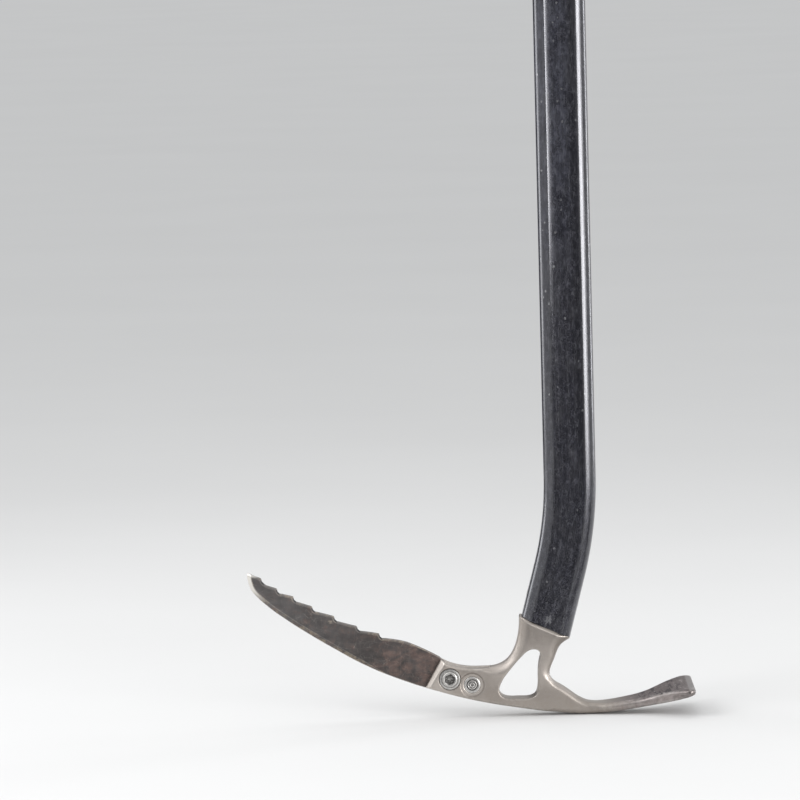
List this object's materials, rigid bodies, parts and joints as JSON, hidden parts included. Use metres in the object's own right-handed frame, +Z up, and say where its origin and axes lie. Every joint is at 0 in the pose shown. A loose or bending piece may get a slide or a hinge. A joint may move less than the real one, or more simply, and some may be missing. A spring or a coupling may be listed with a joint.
{
  "type": "ice axe",
  "caption": "Mountaineering ice axe: bent oval aluminium shaft, forged head with adze and carabiner window, toothed pick bolted between cheeks, rubber grip and spike.",
  "frame": {"origin": "centre of the eye in the spike plate", "axes": "+Z up along the straight part of the shaft towards the spike's point, with the head at the bottom, as the axe is carried; +X towards the adze, -X towards the pick; Y across the plate thickness, along the eye"},
  "size_m": [0.2664, 0.0586, 0.6026],
  "materials": {
    "shaft_alloy": "worn black anodising with fine lengthwise scratches",
    "head_steel": "matt blasted forging, bare at the adze",
    "pick_steel": "dark ground plate with light rust",
    "fastener_steel": "bright plated",
    "rivet_steel": "plain",
    "adhesive": "hardened epoxy",
    "foam": "closed-cell foam",
    "spike_steel": "ground and worn",
    "cap_plastic": "moulded nylon",
    "grip_rubber": "matt ribbed rubber"
  },
  "bodies": {
    "root": {"shaft": "shaft_alloy", "head": "head_steel", "pick": "pick_steel", "pick_screws": "fastener_steel", "pick_lock_washers": "fastener_steel", "pick_nuts": "fastener_steel", "head_rivet": "rivet_steel", "head_bond": "adhesive", "shaft_foam_plug": "foam", "spike": "spike_steel", "spike_rivet": "rivet_steel", "shaft_end_cap": "cap_plastic", "grip_sleeve": "grip_rubber"}
  },
  "joints": []
}
